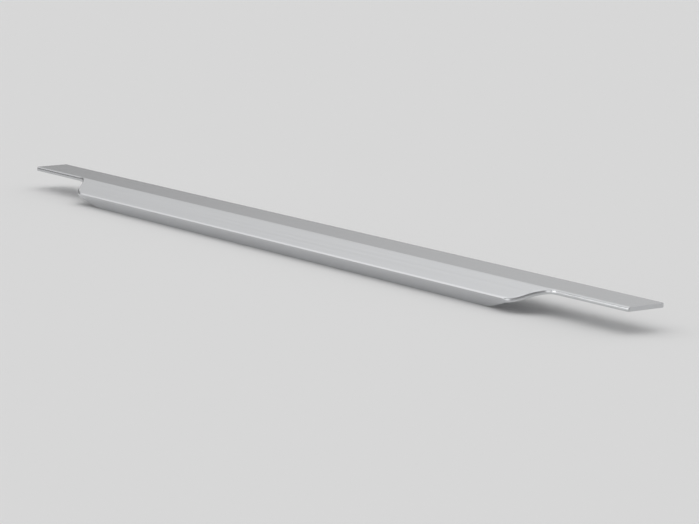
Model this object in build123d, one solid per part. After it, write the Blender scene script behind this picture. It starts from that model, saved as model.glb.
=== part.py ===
# Edge pull handle: one aluminium extrusion that caps the top edge of a furniture front.
# A flat plate covers the edge, a slope runs forward and down from it to a nose, and a lip
# turns back under the nose for the fingertips. A barbed tongue under the plate presses into
# a groove in the front. Both ends are milled back to the bare plate.
# Millimetres. X runs along the handle, Y to the back, Z up. The origin is where the tongue's
# middle plane meets the plate's underside, at half length.
from build123d import *
import math
import os

# Overall sizes
handle_length = 597.0
plate_depth = 21.0
wall = 2.3

# Slope and lip, measured on their outer faces; the lip stands square to the slope
slope_angle = 25.0
slope_length = 14.8
lip_height = 8.3

# Tongue: a plain neck under the plate, then saw-tooth barbs down to a narrower foot.
# It stops well short of the plate's ends, so its groove doesn't show at the sides of the front
tongue_length = 350.0
tongue_setback = 10.5
tongue_depth = 11.3
tongue_core = 2.4
tongue_neck = 2.5
tongue_foot = 1.4
barb_reach = 0.5
barb_pitch = 2.1

# Milled ends: bare plate, then two arcs that swing out to the nose, and a lip that fades out
end_land = 56.0
root_radius = 18.0
tip_radius = 18.0
corner_radius = 0.8
lip_taper = 17.0
lip_sweep_radius = 45.0

# Edge rounds
crease_round = 1.5
nose_round = 0.6
lip_edge_round = 0.5
inner_nose_round = 0.9
inner_crease_round = 0.8
back_edge_round = 0.3

half_length = handle_length / 2
plate_front = -tongue_setback
plate_back = plate_depth - tongue_setback
slope_turn = math.radians(slope_angle)

# Directions in the section plane (Y, Z): along the slope to the nose, and square to it, below the slope
along_slope = Vector(-math.cos(slope_turn), -math.sin(slope_turn))
below_slope = Vector(math.sin(slope_turn), -math.cos(slope_turn))

# Corners of the section at the two bends
crease = Vector(plate_front, wall)
inner_crease = crease + below_slope * wall + along_slope * (wall * math.tan(slope_turn / 2))
nose = crease + along_slope * slope_length
inner_nose = nose + (below_slope - along_slope) * wall

# Plan of the milled end: both arcs turn by the same angle, so the curve leaves the plate's
# front edge and reaches the nose in line with them
arc_reach = plate_front - nose.X
arc_turn = math.acos(1 - arc_reach / (root_radius + tip_radius))
root_x = half_length - end_land
nose_end_x = root_x - (root_radius + tip_radius) * math.sin(arc_turn)

# Where that curve crosses the front of the lip, level with the slope's underside
lip_setback = wall * below_slope.X
lip_end_x = nose_end_x + math.sqrt(tip_radius**2 - (tip_radius - lip_setback) ** 2)


def rounded(face, corners):
    # The face with each (corner, radius) rounded off
    for corner, radius in corners:
        face = fillet(face.vertices().sort_by_distance(corner)[0], radius)
    return face


def strip_section():
    # Plate and slope in the section plane
    back_top = Vector(plate_back, wall)
    back_bottom = Vector(plate_back, 0)
    nose_bottom = nose + below_slope * wall
    outline = Polyline(back_top, crease, nose, nose_bottom, inner_crease, back_bottom, close=True)
    return rounded(
        make_face(outline),
        [
            (crease, crease_round),
            (nose, nose_round),
            (inner_crease, inner_crease_round),
            (back_top, back_edge_round),
            (back_bottom, back_edge_round),
        ],
    )


def plan_outline():
    # The handle from above: rounded plate corners, and an S-curve from plate to nose at each end
    back_middle = Vector(0, plate_back)
    back_corner = Vector(half_length, plate_back)
    front_corner = Vector(half_length, plate_front)
    root_arc = JernArc((root_x, plate_front), (-1, 0), root_radius, math.degrees(arc_turn))
    tip_arc = JernArc(root_arc @ 1, root_arc % 1, tip_radius, -math.degrees(arc_turn))
    plate_edges = Polyline(back_middle, back_corner, front_corner, root_arc @ 0)
    nose_edges = Polyline(tip_arc @ 1, (0, nose.X), back_middle)
    half = make_face([*plate_edges.edges(), root_arc, tip_arc, *nose_edges.edges()])
    half = rounded(half, [(back_corner, corner_radius), (front_corner, corner_radius)])
    return half + mirror(half, about=Plane.YZ)


def tongue_section():
    # Each barb has a flat top that bites against pulling out, and tapers towards the foot
    side = [Vector(tongue_core / 2, 0)]
    barb_count = int((tongue_depth - tongue_neck) / barb_pitch)
    for barb in range(barb_count):
        barb_top = -tongue_neck - barb * barb_pitch
        side.append(Vector(tongue_core / 2, barb_top))
        side.append(Vector(tongue_core / 2 + barb_reach, barb_top))
    side.append(Vector(tongue_foot / 2, -tongue_depth))
    other_side = [Vector(-point.X, point.Y) for point in side]
    return make_face(Polyline(*side, *reversed(other_side), close=True))


def make_lip():
    # The lip's front outline, drawn on its front face with local Y down the lip: its lower edge
    # sweeps up at both ends and runs out at the slope's underside
    face_plane = Plane((0, nose.X, nose.Y), x_dir=(1, 0, 0), z_dir=(0, -along_slope.X, -along_slope.Y))
    sweep_x = lip_end_x - (lip_height - wall) / math.tan(math.radians(lip_taper))
    corners = [Vector(sweep_x, lip_height), Vector(-sweep_x, lip_height)]
    outline = Polyline((-lip_end_x, wall), (lip_end_x, wall), *corners, close=True)
    outline = rounded(make_face(outline), [(corner, lip_sweep_radius) for corner in corners])
    lip = extrude(face_plane * outline, wall)
    upper_face = lip.faces().sort_by(Axis(face_plane.origin, face_plane.y_dir))[0]
    front_and_back = lip.faces().filter_by(face_plane)
    return fillet(front_and_back.edges() - upper_face.edges(), lip_edge_round)


# The plan is cut straight down through the whole strip
plan_cut_reach = slope_length + wall
strip = extrude(Plane.YZ * strip_section(), half_length, both=True)
strip &= extrude(plan_outline(), plan_cut_reach, both=True)
tongue = extrude(Plane.YZ * tongue_section(), tongue_length / 2, both=True)
handle = strip + tongue + make_lip()

inner_nose_line = Vector(0, inner_nose.X, inner_nose.Y)
handle = fillet(handle.edges().filter_by(Axis.X).sort_by_distance(inner_nose_line)[0], inner_nose_round)

os.makedirs("parts", exist_ok=True)
export_step(handle.solid(), "parts/handle_profile.step")
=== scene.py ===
import math
import bpy
import bmesh
from mathutils import Matrix, Vector


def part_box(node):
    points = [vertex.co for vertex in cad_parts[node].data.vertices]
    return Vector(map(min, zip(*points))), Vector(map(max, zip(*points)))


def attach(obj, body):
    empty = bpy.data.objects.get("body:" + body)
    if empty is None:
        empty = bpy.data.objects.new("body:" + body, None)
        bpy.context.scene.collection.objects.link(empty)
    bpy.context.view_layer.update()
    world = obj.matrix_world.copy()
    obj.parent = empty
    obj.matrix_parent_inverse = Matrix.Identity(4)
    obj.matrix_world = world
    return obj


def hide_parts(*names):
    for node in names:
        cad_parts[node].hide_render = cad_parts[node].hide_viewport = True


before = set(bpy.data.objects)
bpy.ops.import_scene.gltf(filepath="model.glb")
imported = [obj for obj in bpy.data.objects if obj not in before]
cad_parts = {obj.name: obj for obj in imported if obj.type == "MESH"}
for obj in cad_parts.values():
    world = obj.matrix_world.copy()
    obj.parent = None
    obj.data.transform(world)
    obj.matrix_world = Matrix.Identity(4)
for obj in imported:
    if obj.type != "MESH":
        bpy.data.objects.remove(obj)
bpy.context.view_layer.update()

nodeLow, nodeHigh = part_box("handle_profile")
mm = 0.001


def hexColour(code):   # sRGB hex to linear
    parts = [int(code[i:i + 2], 16) / 255 for i in (1, 3, 5)]
    linear = [c / 12.92 if c <= 0.04045 else ((c + 0.055) / 1.055) ** 2.4 for c in parts]
    return (*linear, 1.0)


# Settings hold properties or input values, links go from an input to the output socket that feeds it
def addNode(tree, kind, settings=None, links=None):
    node = tree.nodes.new(kind)
    for name, value in (settings or {}).items():
        if name in node.inputs:
            node.inputs[name].default_value = value
        else:
            setattr(node, name, value)
    for name, socket in (links or {}).items():
        tree.links.new(socket, node.inputs[name])
    return node


def newMaterial(name):   # with an empty node tree
    material = bpy.data.materials.new(name)
    material.use_nodes = True
    material.node_tree.nodes.clear()
    return material


def addObject(name, data):   # put into the scene
    thing = bpy.data.objects.new(name, data)
    bpy.context.scene.collection.objects.link(thing)
    return thing


# The extrusion: plate, slope, nose and lip, with both ends milled back
profile = {
    "wall": 2.3 * mm,
    "plateFront": -10.5 * mm,
    "slopeAngle": math.radians(25),
    "slopeLength": 14.8 * mm,   # crease to nose
    "lipHeight": 8.3 * mm,      # nose to lower edge
    "creaseRound": 1.5 * mm,
    "noseRound": 0.45 * mm,
    "lipEdgeRound": 0.5 * mm,
    "innerNoseRound": 0.9 * mm,
    "innerCreaseRound": 0.8 * mm,
    "backRound": 0.3 * mm,
    "roundSteps": 6,
    "frontRows": 7,             # extra rows of points down the front of the lip
    "sharpAngle": math.radians(35),   # bends past this show as an edge
}
milling = {
    "endLand": 56 * mm,         # bare plate at each end
    "rootRadius": 18 * mm,
    "tipRadius": 18 * mm,
    "arcSteps": 26,
    "lipTaper": math.radians(17),
    "lipSweep": 45 * mm,
    "sweepSteps": 10,
    "cornerRound": 0.8 * mm,    # plate corners seen from above
    "edgeBreak": 0.45 * mm,     # chamfer on the upper edge of the cuts
    "easeHeight": 2.0 * mm,     # below it the wall leans back a little
    "easeDepth": 0.34 * mm,
    "underRound": 0.2 * mm,     # lower edge of the cuts
    "edgeFade": 4,              # the higher, the nearer to the end the lip's edge keeps its full round
    "underFade": 8,             # the same for where underRound starts
    "endRound": 0.06 * mm,      # broken edges of the plate's ends
    "cornerSteps": 8,
    "upright": 0.35,            # walls with less upward slant than this show cutter marks and the darker milled tone with its painted dark reflection
}
fine = {
    "merge": 0.002 * mm,        # points closer than this become one
    "middle": 0.001 * mm,       # as good as on the handle's middle plane
    "touch": 0.01 * mm,         # as good as touching
    "inLine": 0.999,            # cosine of as good as parallel
    "slack": 1.001,             # a hair more, so that points right at a limit count as inside it
}

plateTop = nodeHigh.z
plateBack = nodeHigh.y
halfLength = nodeHigh.x
wall = profile["wall"]
tilt = profile["slopeAngle"]
alongSlope = Vector((0, -math.cos(tilt), -math.sin(tilt)))
belowSlope = Vector((0, math.sin(tilt), -math.cos(tilt)))
crease = Vector((0, profile["plateFront"], plateTop))
innerCrease = crease + belowSlope * wall + alongSlope * (wall * math.tan(tilt / 2))
nose = crease + alongSlope * profile["slopeLength"]
lipEdge = nose + belowSlope * profile["lipHeight"]
innerNose = nose + (belowSlope - alongSlope) * wall

# Plan of the milled ends: two arcs from the plate's front edge out to the nose
arcReach = crease.y - nose.y
arcTurn = math.acos(1 - arcReach / (milling["rootRadius"] + milling["tipRadius"]))
rootX = halfLength - milling["endLand"]
noseEndX = rootX - (milling["rootRadius"] + milling["tipRadius"]) * math.sin(arcTurn)
bendX = noseEndX + milling["tipRadius"] * math.sin(arcTurn)
tipSag = milling["tipRadius"] - wall * belowSlope.y
lipEndX = noseEndX + math.sqrt(milling["tipRadius"] ** 2 - tipSag ** 2)
sweepX = lipEndX - (profile["lipHeight"] - wall) / math.tan(milling["lipTaper"])
sweepRun = milling["lipSweep"] * math.tan(milling["lipTaper"] / 2)
lipFlatX = sweepX - sweepRun   # the lower edge is straight up to here
lipTaperX = sweepX + sweepRun * math.cos(milling["lipTaper"])   # and straight again from here


def planFront(x):   # how far forward the plan reaches at this x
    tip = milling["tipRadius"]
    root = milling["rootRadius"]
    if x <= noseEndX:
        return nose.y
    if x <= bendX:
        return nose.y + tip - math.sqrt(tip ** 2 - (x - noseEndX) ** 2)
    if x < rootX:
        return crease.y - root + math.sqrt(root ** 2 - (rootX - x) ** 2)
    return crease.y


def lipReach(x):   # depth of the lip below the nose at this x
    sweep = milling["lipSweep"]
    if x <= lipFlatX:
        return profile["lipHeight"]
    if x <= lipTaperX:
        return profile["lipHeight"] - sweep + math.sqrt(sweep ** 2 - (x - lipFlatX) ** 2)
    return max(wall, wall + (lipEndX - x) * math.tan(milling["lipTaper"]))


def lipBack(depth):   # reach of the lip's back face at this depth, with its fillet under the slope
    radius = profile["innerNoseRound"]
    rise = min(radius, max(0.0, wall + radius - depth))
    return profile["slopeLength"] - wall - radius + math.sqrt(radius ** 2 - rise ** 2)


def bentHeight(y, bend, radius):   # level behind the bend, sloping down in front of it, rounded between
    run = radius * math.tan(tilt / 2)
    if y >= bend.y + run:
        return bend.z
    if y <= bend.y - run * math.cos(tilt):
        return bend.z + (y - bend.y) * math.tan(tilt)
    return bend.z - radius + math.sqrt(radius ** 2 - (bend.y + run - y) ** 2)


def topHeight(y):
    return bentHeight(y, crease, profile["creaseRound"])


def underHeight(y):
    return bentHeight(y, innerCrease, profile["innerCreaseRound"])


def setBack(radius, away):   # how far a rounded edge stands back, this far away from its end
    if away >= radius:
        return 0.0
    return radius - math.sqrt(radius ** 2 - (radius - max(0.0, away)) ** 2)


def edgeBack(away):   # the same for the upper edge of a cut: chamfer, then a slight lean
    lean = max(0.0, 1 - away / milling["easeHeight"])
    return max(0.0, milling["edgeBreak"] - away) + milling["easeDepth"] * lean ** 2


def shortenedFront(depth, lip, lipLeft):   # new depth of a point on the front of the cut-down lip
    edge = profile["lipEdgeRound"]
    newEdge = edge + (milling["underRound"] - edge) * (1 - lipLeft) ** milling["edgeFade"]
    if depth > profile["lipHeight"] - edge:
        return lip - (profile["lipHeight"] - depth) * newEdge / edge
    if depth > profile["noseRound"]:
        fullRun = profile["lipHeight"] - edge - profile["noseRound"]
        newRun = lip - newEdge - profile["noseRound"]
        return profile["noseRound"] + (depth - profile["noseRound"]) * newRun / fullRun
    return depth


def shortenedBack(reach, depth, lip):   # new reach and depth on its back, cut off through the fillet
    edge = profile["lipEdgeRound"]
    edgeLeft = min(1.0, (lip - wall) / (profile["innerNoseRound"] + edge))
    roundStart = lip - edge * edgeLeft
    if depth > profile["lipHeight"] - edge * fine["slack"]:
        newReach = lipBack(roundStart) + (reach - lipBack(depth)) * edgeLeft
        return newReach, lip - (profile["lipHeight"] - depth) * edgeLeft
    if depth > roundStart:
        return lipBack(roundStart), roundStart
    return reach, depth


def milled(point):   # where a point of the full section goes once the ends are milled
    x = point.x
    place = Vector((0, point.y, point.z))
    reach = (place - crease).dot(alongSlope)
    depth = (place - crease).dot(belowSlope)
    lip = lipReach(x)
    lipLeft = (lip - wall) / (profile["lipHeight"] - wall)
    share = 0.0 if depth < wall / 2 else 1.0   # 0 on the top face, 1 on the underside
    lowerBreak = milling["underRound"] * share
    if reach > profile["slopeLength"] - wall / 2:
        depth = shortenedFront(depth, lip, lipLeft)
        place = crease + alongSlope * reach + belowSlope * depth
        share = min(1.0, depth / wall)
        lowerBreak = setBack(milling["underRound"], (1 - share) * wall)
    elif depth > wall * fine["slack"] and reach > wall:
        reach, depth = shortenedBack(reach, depth, lip)
        place = crease + alongSlope * reach + belowSlope * depth
    lowerBreak *= (1 - lipLeft) ** milling["underFade"]
    cornerBack = setBack(milling["cornerRound"], halfLength - x)
    runOut = 1 - cornerBack / milling["cornerRound"]   # the chamfer runs out in the plate's corner
    limit = planFront(x) + cornerBack + edgeBack(share * wall) * runOut + lowerBreak
    if place.y < limit and (lip <= wall or depth < wall * fine["slack"]):
        place.y = limit
        place.z = topHeight(limit) * (1 - share) + underHeight(limit) * share
    if place.y > plateBack - profile["backRound"] * fine["slack"]:
        place.y -= cornerBack
    middle = plateTop - wall / 2
    place.z -= (place.z - middle) * setBack(milling["endRound"], halfLength - x) / (wall / 2)
    place.x = x
    return place


def millStations():   # where along the half length the section is repeated
    stops = [lipFlatX, lipTaperX, noseEndX, lipEndX, bendX, rootX, halfLength - milling["cornerRound"]]
    for step in range(1, milling["sweepSteps"]):
        stops.append(lipFlatX + (lipTaperX - lipFlatX) * step / milling["sweepSteps"])
        stops.append(lipTaperX + (lipEndX - lipTaperX) * step / milling["sweepSteps"])
    for step in range(1, milling["arcSteps"]):
        part = math.sin(arcTurn * step / milling["arcSteps"])
        stops.append(noseEndX + milling["tipRadius"] * part)
        stops.append(rootX - milling["rootRadius"] * part)
    for step in range(1, milling["cornerSteps"] + 1):
        part = math.sin(math.pi / 2 * step / milling["cornerSteps"])
        stops.append(halfLength - milling["cornerRound"] * (1 - part))
        stops.append(halfLength - milling["endRound"] * (1 - part))
    stops.sort()
    return [stops[0]] + [b for a, b in zip(stops, stops[1:]) if b - a > fine["merge"]]


def onLipFront(edge):
    start, end = (vert.co for vert in edge.verts)
    upright = abs((end - start).normalized().dot(belowSlope)) > fine["inLine"]
    return upright and (start - nose).dot(alongSlope) > -fine["touch"]


def makeHandle():
    bm = bmesh.new()
    corners = [
        (Vector((0, plateBack, plateTop)), "backRound"),
        (crease, "creaseRound"),
        (nose, "noseRound"),
        (lipEdge, "lipEdgeRound"),
        (lipEdge - alongSlope * wall, "lipEdgeRound"),
        (innerNose, "innerNoseRound"),
        (innerCrease, "innerCreaseRound"),
        (Vector((0, plateBack, plateTop - wall)), "backRound"),
    ]
    points = [place for place, name in corners]
    verts = [bm.verts.new(place) for place in points]
    bm.faces.new(verts)
    for i, (place, name) in enumerate(corners):
        turn = (place - points[i - 1]).angle(points[(i + 1) % len(points)] - place)
        bmesh.ops.bevel(bm, geom=[verts[i]], offset=profile[name] * math.tan(turn / 2), affect="VERTICES",
                        segments=profile["roundSteps"], profile=0.5, material=-1)
    frontEdges = [edge for edge in bm.edges if onLipFront(edge)]
    bmesh.ops.subdivide_edges(bm, edges=frontEdges, cuts=profile["frontRows"])
    print("section corners", len(bm.verts), "front edges", len(frontEdges))
    loop = list(bm.edges)
    bmesh.ops.delete(bm, geom=list(bm.faces), context="FACES_ONLY")
    lastX = 0.0
    for x in millStations():
        grown = bmesh.ops.extrude_edge_only(bm, edges=loop)["geom"]
        loop = [e for e in grown if isinstance(e, bmesh.types.BMEdge) and e.is_boundary]
        fresh = [v for v in grown if isinstance(v, bmesh.types.BMVert)]
        bmesh.ops.translate(bm, verts=fresh, vec=(x - lastX, 0, 0))
        lastX = x
    bmesh.ops.contextual_create(bm, geom=loop)
    for vert in bm.verts:
        vert.co = milled(vert.co)
    half = [*bm.verts, *bm.edges, *bm.faces]
    bmesh.ops.mirror(bm, geom=half, axis="X", merge_dist=fine["middle"])
    bmesh.ops.remove_doubles(bm, verts=list(bm.verts), dist=fine["merge"])
    bmesh.ops.dissolve_degenerate(bm, edges=list(bm.edges), dist=fine["merge"])
    seam = [e for e in bm.edges if max(abs(v.co.x) for v in e.verts) < fine["middle"]]
    bmesh.ops.dissolve_edges(bm, edges=seam, use_verts=True)
    bmesh.ops.recalc_face_normals(bm, faces=list(bm.faces))
    print("handle mesh", len(bm.verts), len(bm.faces))
    return bm


tongue = {
    "length": 350 * mm,
    "depth": 11.3 * mm,
    "core": 2.4 * mm,
    "neck": 2.5 * mm,           # plain part under the plate
    "foot": 1.4 * mm,
    "barbReach": 0.5 * mm,
    "barbPitch": 2.1 * mm,
}


def addTongue(bm):   # barbed tongue drawn down out of the plate's underside
    halfCore = tongue["core"] / 2
    levelFaces = [f for f in bm.faces if f.normal.z < -fine["inLine"]]
    underside = [f for f in levelFaces if abs(f.verts[0].co.z) < fine["touch"]]
    for axis, away in (((0, 1, 0), halfCore), ((1, 0, 0), tongue["length"] / 2)):
        for side in (-1, 1):
            near = list(dict.fromkeys(g for f in underside for g in (f, *f.edges, *f.verts)))
            flank = Vector(axis) * away * side
            split = bmesh.ops.bisect_plane(bm, geom=near, plane_co=flank, plane_no=axis)["geom"]
            underside = [f for f in split if isinstance(f, bmesh.types.BMFace)]
            underside = [f for f in underside if f.calc_center_median().dot(Vector(axis)) * side < away]
    steps = [(0.0, halfCore)]
    for barb in range(int((tongue["depth"] - tongue["neck"]) / tongue["barbPitch"])):
        barbTop = tongue["neck"] + barb * tongue["barbPitch"]
        steps.append((barbTop, halfCore))
        steps.append((barbTop, halfCore + tongue["barbReach"]))
    steps.append((tongue["depth"], tongue["foot"] / 2))
    for (depth, width), (newDepth, newWidth) in zip(steps, steps[1:]):
        # With the edges too, so that the old face goes
        region = list(dict.fromkeys(g for f in underside for g in (f, *f.edges)))
        grown = bmesh.ops.extrude_face_region(bm, geom=region)["geom"]
        fresh = [v for v in grown if isinstance(v, bmesh.types.BMVert)]
        underside = [f for f in grown if isinstance(f, bmesh.types.BMFace)]
        bmesh.ops.translate(bm, verts=fresh, vec=(0, 0, depth - newDepth))
        bmesh.ops.scale(bm, verts=fresh, vec=(1, newWidth / width, 1))
    # Faces beside the barbs that came out with no height
    bmesh.ops.dissolve_degenerate(bm, edges=list(bm.edges), dist=fine["merge"])
    bmesh.ops.recalc_face_normals(bm, faces=list(bm.faces))
    print("with tongue", len(bm.verts), len(bm.faces))


def markCuts(bm):   # second material on the walls that the cutter left: milled finish, darker partly as painted dark reflection
    for face in bm.faces:
        middle = face.calc_center_median()
        endFace = abs(middle.x) > halfLength - milling["cornerRound"]
        frontCut = abs(middle.x) > noseEndX and middle.y < planFront(abs(middle.x)) + milling["edgeBreak"]
        if abs(face.normal.z) < milling["upright"] and (endFace or frontCut):
            face.material_index = 1
    print("milled faces", sum(face.material_index for face in bm.faces))


handleBm = makeHandle()
addTongue(handleBm)
markCuts(handleBm)
handleMesh = bpy.data.meshes.new("handle")
handleBm.to_mesh(handleMesh)
handleBm.free()
handleMesh.shade_smooth()
handleMesh.set_sharp_from_angle(angle=profile["sharpAngle"])
handlePiece = addObject("handle", handleMesh)
evenNormals = handlePiece.modifiers.new("evenNormals", "WEIGHTED_NORMAL")
evenNormals.keep_sharp = True
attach(handlePiece, "root")
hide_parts("handle_profile")

noiseSpan = (0.3, 0.7)   # nearly all values of a noise texture lie between these

# Drawn, etched and clear-anodised aluminium: soft grey metal that shows broad light and dark,
# with faint die lines along its length
satinFinish = {
    "darkLine": "#D5D6D8",
    "paleLine": "#D9DADC",
    "lineWidth": 1.3 * mm,      # real die lines are about 0.2 mm apart, drawn wider so that they show
    "lineLength": 280 * mm,
    "lineDepth": 0.0010 * mm,
    "grainSize": 0.9 * mm,      # real etch pits are about 0.05 mm, drawn wider so that they show
    "detail": 2.0,
    "smoothest": 0.19,
    "roughest": 0.25,
}
satin = newMaterial("satin anodised aluminium")
satinTree = satin.node_tree
satinPlace = addNode(satinTree, "ShaderNodeTexCoord").outputs["Object"]
lineScale = (1 / satinFinish["lineLength"], 1 / satinFinish["lineWidth"], 1 / satinFinish["lineWidth"])
lineMap = addNode(satinTree, "ShaderNodeMapping", {"Scale": lineScale}, {"Vector": satinPlace})
dieLines = addNode(satinTree, "ShaderNodeTexNoise", {"Scale": 1.0, "Detail": satinFinish["detail"]},
                   {"Vector": lineMap.outputs["Vector"]})
lineColour = addNode(satinTree, "ShaderNodeValToRGB", links={"Fac": dieLines.outputs["Fac"]})
for i, tone in enumerate(("darkLine", "paleLine")):
    lineColour.color_ramp.elements[i].position = noiseSpan[i]
    lineColour.color_ramp.elements[i].color = hexColour(satinFinish[tone])
etchGrain = addNode(satinTree, "ShaderNodeTexNoise",
                    {"Scale": 1 / satinFinish["grainSize"], "Detail": satinFinish["detail"]},
                    {"Vector": satinPlace})
satinRoughness = addNode(satinTree, "ShaderNodeMapRange",
                         {"From Min": noiseSpan[0], "From Max": noiseSpan[1],
                          "To Min": satinFinish["smoothest"], "To Max": satinFinish["roughest"]},
                         {"Value": etchGrain.outputs["Fac"]})
lineBump = addNode(satinTree, "ShaderNodeBump", {"Strength": 1.0, "Distance": satinFinish["lineDepth"]},
                   {"Height": dieLines.outputs["Fac"]})
satinShader = addNode(satinTree, "ShaderNodeBsdfPrincipled", {"Metallic": 1.0},
                      {"Base Color": lineColour.outputs["Color"],
                       "Roughness": satinRoughness.outputs["Result"],
                       "Normal": lineBump.outputs["Normal"]})
addNode(satinTree, "ShaderNodeOutputMaterial", links={"Surface": satinShader.outputs["BSDF"]})

# Milled and clear-anodised aluminium: a little smoother than the drawn faces, so that cut edges flash bright
# or dark, and a little darker, partly as milled metal and partly as painted dark reflection, with faint
# upright marks of the cutter
cutFinish = {
    # both tones sit below the satin ones: partly the milled finish, partly painted dark reflection for the
    # S-curve walls
    "darkMark": "#CACBCD",
    "paleMark": "#CDCED0",
    "markWidth": 0.7 * mm,      # real cutter marks are about 0.1 mm apart, drawn wider so that they show
    "markHeight": 9 * mm,
    "markDepth": 0.0004 * mm,
    "detail": 0.0,
    "smoothest": 0.19,
    "roughest": 0.23,
}
cut = newMaterial("milled anodised aluminium with painted dark reflection")
cutTree = cut.node_tree
cutPlace = addNode(cutTree, "ShaderNodeTexCoord").outputs["Object"]
markScale = (1 / cutFinish["markWidth"], 1 / cutFinish["markWidth"], 1 / cutFinish["markHeight"])
markMap = addNode(cutTree, "ShaderNodeMapping", {"Scale": markScale}, {"Vector": cutPlace})
cutterMarks = addNode(cutTree, "ShaderNodeTexNoise", {"Scale": 1.0, "Detail": cutFinish["detail"]},
                      {"Vector": markMap.outputs["Vector"]})
markColour = addNode(cutTree, "ShaderNodeValToRGB", links={"Fac": cutterMarks.outputs["Fac"]})
for i, tone in enumerate(("darkMark", "paleMark")):
    markColour.color_ramp.elements[i].position = noiseSpan[i]
    markColour.color_ramp.elements[i].color = hexColour(cutFinish[tone])
cutRoughness = addNode(cutTree, "ShaderNodeMapRange",
                       {"From Min": noiseSpan[0], "From Max": noiseSpan[1],
                        "To Min": cutFinish["smoothest"], "To Max": cutFinish["roughest"]},
                       {"Value": cutterMarks.outputs["Fac"]})
markBump = addNode(cutTree, "ShaderNodeBump", {"Strength": 1.0, "Distance": cutFinish["markDepth"]},
                   {"Height": cutterMarks.outputs["Fac"]})
cutShader = addNode(cutTree, "ShaderNodeBsdfPrincipled", {"Metallic": 1.0},
                    {"Base Color": markColour.outputs["Color"],
                     "Roughness": cutRoughness.outputs["Result"],
                     "Normal": markBump.outputs["Normal"]})
addNode(cutTree, "ShaderNodeOutputMaterial", links={"Surface": cutShader.outputs["BSDF"]})
for material in (satin, cut):
    handleMesh.materials.append(material)
print("finishes", [material.name for material in handleMesh.materials])

# Stage: a floor of matt paper, plain and pale, that fills the view
stage = {
    "reach": 40,                # metres from the middle to each side
    "colour": "#E9E9E9",
    "roughness": 0.9,
}
floorMesh = bpy.data.meshes.new("floor")
floorBm = bmesh.new()
bmesh.ops.create_grid(floorBm, x_segments=1, y_segments=1, size=stage["reach"])
bmesh.ops.translate(floorBm, verts=list(floorBm.verts), vec=(0, 0, nodeLow.z))
floorBm.to_mesh(floorMesh)
floorBm.free()
floor = addObject("floor", floorMesh)
pale = newMaterial("matt paper")
paleShader = addNode(pale.node_tree, "ShaderNodeBsdfPrincipled",
                     {"Base Color": hexColour(stage["colour"]), "Roughness": stage["roughness"],
                      "Specular IOR Level": 0.0})
addNode(pale.node_tree, "ShaderNodeOutputMaterial", links={"Surface": paleShader.outputs["BSDF"]})
floorMesh.materials.append(pale)
print("floor at", round(nodeLow.z, 4))

# Soft light: a world that grows brighter upward and to the right back, with three dimmer sides,
# and three soft lamps at the left front
light = {
    "bright": (0.44, 0.20, 0.87),   # the way it grows brighter
    "ramps": [
        {"From Min": -0.24, "From Max": 0.20, "To Min": 0.17, "To Max": 1.26},   # steep near the ground
        {"From Min": -0.06, "From Max": 0.60, "To Min": 0.57, "To Max": 1.37},   # then less so
        {"From Min": 0.19, "From Max": 1.00, "To Min": 0.87, "To Max": 1.20},    # gentle overhead
    ],
    "dimSides": [   # starts and full are cosines of the angle away from that side
        {"toward": (0.74, -0.65, 0.17), "starts": 0.5, "full": 0.92, "least": 0.30},   # behind the camera
        {"toward": (0.75, 0.66, 0.0), "starts": 0.3, "full": 0.8, "least": 0.58},   # right and back, low
        {"toward": (-0.54, 0.63, 0.56), "starts": 0.935, "full": 0.985, "least": 0.70},   # left and back
    ],
    "lamps": {
        "fill": {"from": (-0.67, -0.74, 0.0), "strength": 0.24, "angle": 18},   # for the plate's front edges
        "noseLight": {"from": (-0.82, -0.38, 0.42), "strength": 0.10, "angle": 32},   # for the nose
        "cutLight": {"from": (-0.36, -0.93, 0.06), "strength": 0.10, "angle": 18},   # for the S-curves' ends
    },
}
world = bpy.data.worlds.new("softLight")
bpy.context.scene.world = world
world.use_nodes = True
worldTree = world.node_tree
worldTree.nodes.clear()
direction = addNode(worldTree, "ShaderNodeTexCoord").outputs["Generated"]
upRight = addNode(worldTree, "ShaderNodeVectorMath", {"operation": "DOT_PRODUCT"}, {0: direction})
upRight.inputs[1].default_value = light["bright"]
ramps = [addNode(worldTree, "ShaderNodeMapRange", ramp, {"Value": upRight.outputs["Value"]})
         for ramp in light["ramps"]]
strength = ramps[0].outputs["Result"]
for ramp in ramps[1:]:   # the lowest of the ramps counts
    strength = addNode(worldTree, "ShaderNodeMath", {"operation": "MINIMUM"},
                       {0: strength, 1: ramp.outputs["Result"]}).outputs["Value"]
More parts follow.
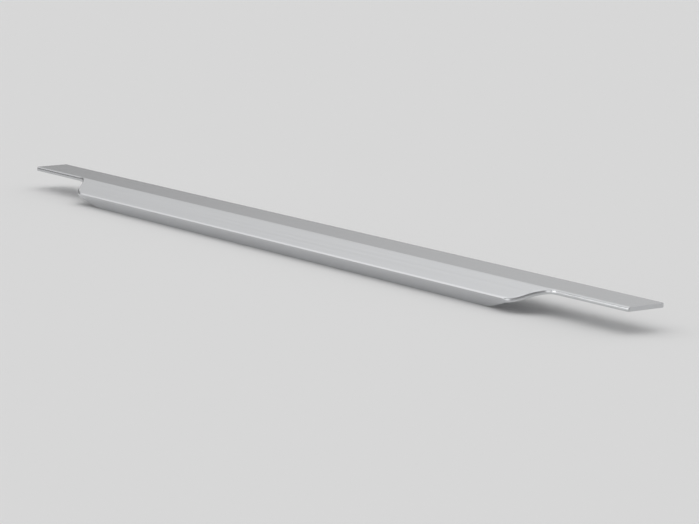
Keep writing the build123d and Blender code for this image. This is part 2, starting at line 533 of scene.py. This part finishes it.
for side in light["dimSides"]:
    toward = addNode(worldTree, "ShaderNodeVectorMath", {"operation": "DOT_PRODUCT"}, {0: direction})
    toward.inputs[1].default_value = side["toward"]
    shade = addNode(worldTree, "ShaderNodeMapRange",
                    {"interpolation_type": "SMOOTHSTEP",
                     "From Min": side["starts"], "From Max": side["full"],
                     "To Min": 1.0, "To Max": side["least"]},
                    {"Value": toward.outputs["Value"]})
    strength = addNode(worldTree, "ShaderNodeMath", {"operation": "MULTIPLY"},
                       {0: strength, 1: shade.outputs["Result"]}).outputs["Value"]
sky = addNode(worldTree, "ShaderNodeBackground", {"Color": (1, 1, 1, 1)}, {"Strength": strength})
addNode(worldTree, "ShaderNodeOutputWorld", links={"Surface": sky.outputs["Background"]})
for name, setting in light["lamps"].items():
    lampData = bpy.data.lights.new(name, "SUN")
    lampData.energy = setting["strength"]
    lampData.angle = math.radians(setting["angle"])
    lamp = addObject(name, lampData)
    lamp.rotation_mode = "QUATERNION"
    lamp.rotation_quaternion = Vector(setting["from"]).to_track_quat("Z", "Y")
print("light", len(light["dimSides"]), "dim sides,", len(light["lamps"]), "lamps")

# Camera: long lens, from the right front and a little above
shot = {
    "place": (1.39569, -0.87808, 0.25296),
    "azimuth": 56.9820,         # degrees round to the right from straight in front
    "pitch": 9.3448,            # degrees down
    "roll": -0.1209,
    "lens": 157.003,
    "sensor": 36,
    "clipEnd": 200,
}
az, pitch, roll = (math.radians(shot[name]) for name in ("azimuth", "pitch", "roll"))
cameraData = bpy.data.cameras.new("camera")
cameraData.lens = shot["lens"]
cameraData.sensor_width = shot["sensor"]
cameraData.sensor_fit = "HORIZONTAL"
cameraData.clip_end = shot["clipEnd"]
camera = addObject("camera", cameraData)
looking = Vector((-math.sin(az) * math.cos(pitch), math.cos(az) * math.cos(pitch), -math.sin(pitch)))
sideways = Vector((math.cos(az), math.sin(az), 0))
upward = sideways.cross(looking)
right = sideways * math.cos(roll) + upward * math.sin(roll)
up = upward * math.cos(roll) - sideways * math.sin(roll)
camera.matrix_world = Matrix((right, up, -looking)).transposed().to_4x4()
camera.location = shot["place"]
bpy.context.scene.camera = camera
bpy.context.scene.view_settings.view_transform = "Standard"
print("camera at", shot["place"])
